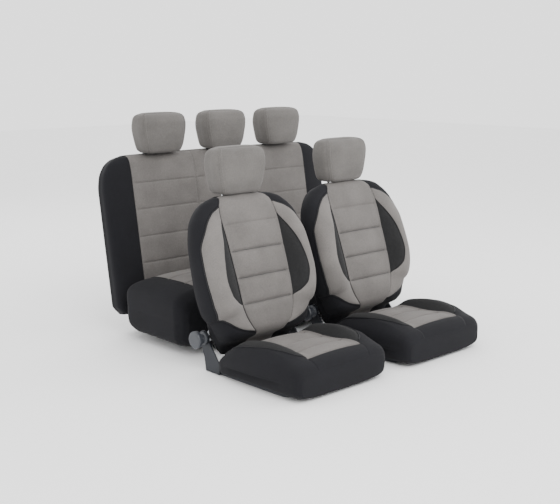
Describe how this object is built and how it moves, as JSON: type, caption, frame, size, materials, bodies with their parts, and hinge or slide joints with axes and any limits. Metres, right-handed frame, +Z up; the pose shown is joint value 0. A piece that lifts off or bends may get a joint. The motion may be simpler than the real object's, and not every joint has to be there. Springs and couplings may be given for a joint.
{
  "type": "seat cover set",
  "caption": "Fitted cloth covers shown on two reclining front seats and a three-place rear bench, with headrests that slide up and backrests that recline by a hand wheel.",
  "frame": {"origin": "under the middle of the whole set, on the floor", "axes": "+X across the vehicle from the front left seat (seen from the front) to the front right seat, +Y to the rear of the vehicle, +Z up"},
  "size_m": [1.5642, 1.4831, 1.064],
  "materials": {
    "black_cloth": "black knitted cloth with foam backing",
    "light_cloth": "grey woven cloth with foam backing",
    "foam": "moulded seat foam",
    "black_metal": "black powder coat",
    "steel": "plain zinc plated steel",
    "chrome": "polished",
    "black_plastic": "fine grain",
    "grey_plastic": "fine grain, blue-grey"
  },
  "bodies": {
    "root": {"front_left_cushion_cover": "black_cloth", "front_left_cushion_foam": "foam", "front_left_cushion_pan": "black_metal", "front_left_recliner_bracket_outer": "black_metal", "front_left_recliner_bracket_inner": "black_metal", "front_left_recliner_boss": "grey_plastic", "front_right_cushion_cover": "black_cloth", "front_right_cushion_foam": "foam", "front_right_cushion_pan": "black_metal", "front_right_recliner_bracket_outer": "black_metal", "front_right_recliner_bracket_inner": "black_metal", "front_right_recliner_boss": "grey_plastic", "rear_base_frame": "black_metal", "rear_cushion_board": "black_metal", "rear_cushion_foam": "foam", "rear_cushion_cover": "black_cloth", "rear_backrest_panel": "steel", "rear_backrest_foam": "foam", "rear_backrest_cover": "black_cloth", "rear_left_headrest_guides": "black_plastic", "rear_centre_headrest_guides": "black_plastic", "rear_right_headrest_guides": "black_plastic"},
    "front_left_backrest": {"front_left_backrest_cover": "black_cloth", "front_left_backrest_foam": "foam", "front_left_backrest_frame": "steel", "front_left_recliner_arm_outer": "steel", "front_left_recliner_arm_inner": "steel", "front_left_headrest_guides": "black_plastic"},
    "front_left_wheel": {"front_left_recliner_rod": "steel", "front_left_recliner_wheel": "grey_plastic"},
    "front_left_headrest": {"front_left_headrest_cover": "light_cloth", "front_left_headrest_foam": "foam", "front_left_headrest_posts": "chrome"},
    "front_right_backrest": {"front_right_backrest_cover": "black_cloth", "front_right_backrest_foam": "foam", "front_right_backrest_frame": "steel", "front_right_recliner_arm_outer": "steel", "front_right_recliner_arm_inner": "steel", "front_right_headrest_guides": "black_plastic"},
    "front_right_wheel": {"front_right_recliner_rod": "steel", "front_right_recliner_wheel": "grey_plastic"},
    "front_right_headrest": {"front_right_headrest_cover": "light_cloth", "front_right_headrest_foam": "foam", "front_right_headrest_posts": "chrome"},
    "rear_left_headrest": {"rear_left_headrest_cover": "light_cloth", "rear_left_headrest_foam": "foam", "rear_left_headrest_posts": "chrome"},
    "rear_centre_headrest": {"rear_centre_headrest_cover": "light_cloth", "rear_centre_headrest_foam": "foam", "rear_centre_headrest_posts": "chrome"},
    "rear_right_headrest": {"rear_right_headrest_cover": "light_cloth", "rear_right_headrest_foam": "foam", "rear_right_headrest_posts": "chrome"}
  },
  "joints": [
    {"name": "front_left_recline", "type": "hinge", "parent": "root", "child": "front_left_backrest", "pos_m": [-0.4771, -0.142, 0.145], "axis": [-1, 0, 0], "range_deg": [-10, 24]},
    {"name": "front_left_wheel_turn", "type": "hinge", "parent": "root", "child": "front_left_wheel", "pos_m": [-0.4771, -0.142, 0.145], "axis": [-1, 0, 0], "range_deg": [-100, 240]},
    {"name": "front_left_headrest_height", "type": "slide", "parent": "front_left_backrest", "child": "front_left_headrest", "axis": [0, 0.3338, 0.9426], "range_m": [0, 0.05]},
    {"name": "front_right_recline", "type": "hinge", "parent": "root", "child": "front_right_backrest", "pos_m": [0.1899, -0.142, 0.145], "axis": [-1, 0, 0], "range_deg": [-10, 24]},
    {"name": "front_right_wheel_turn", "type": "hinge", "parent": "root", "child": "front_right_wheel", "pos_m": [0.1899, -0.142, 0.145], "axis": [-1, 0, 0], "range_deg": [-100, 240]},
    {"name": "front_right_headrest_height", "type": "slide", "parent": "front_right_backrest", "child": "front_right_headrest", "axis": [0, 0.3338, 0.9426], "range_m": [0, 0.05]},
    {"name": "rear_left_headrest_height", "type": "slide", "parent": "root", "child": "rear_left_headrest", "axis": [0, 0.165, 0.9863], "range_m": [0, 0.05]},
    {"name": "rear_centre_headrest_height", "type": "slide", "parent": "root", "child": "rear_centre_headrest", "axis": [0, 0.165, 0.9863], "range_m": [0, 0.05]},
    {"name": "rear_right_headrest_height", "type": "slide", "parent": "root", "child": "rear_right_headrest", "axis": [0, 0.165, 0.9863], "range_m": [0, 0.05]}
  ],
  "couplings": [
    {"joint": "front_left_wheel_turn", "follows": "front_left_recline", "ratio": 10},
    {"joint": "front_right_wheel_turn", "follows": "front_right_recline", "ratio": 10}
  ]
}
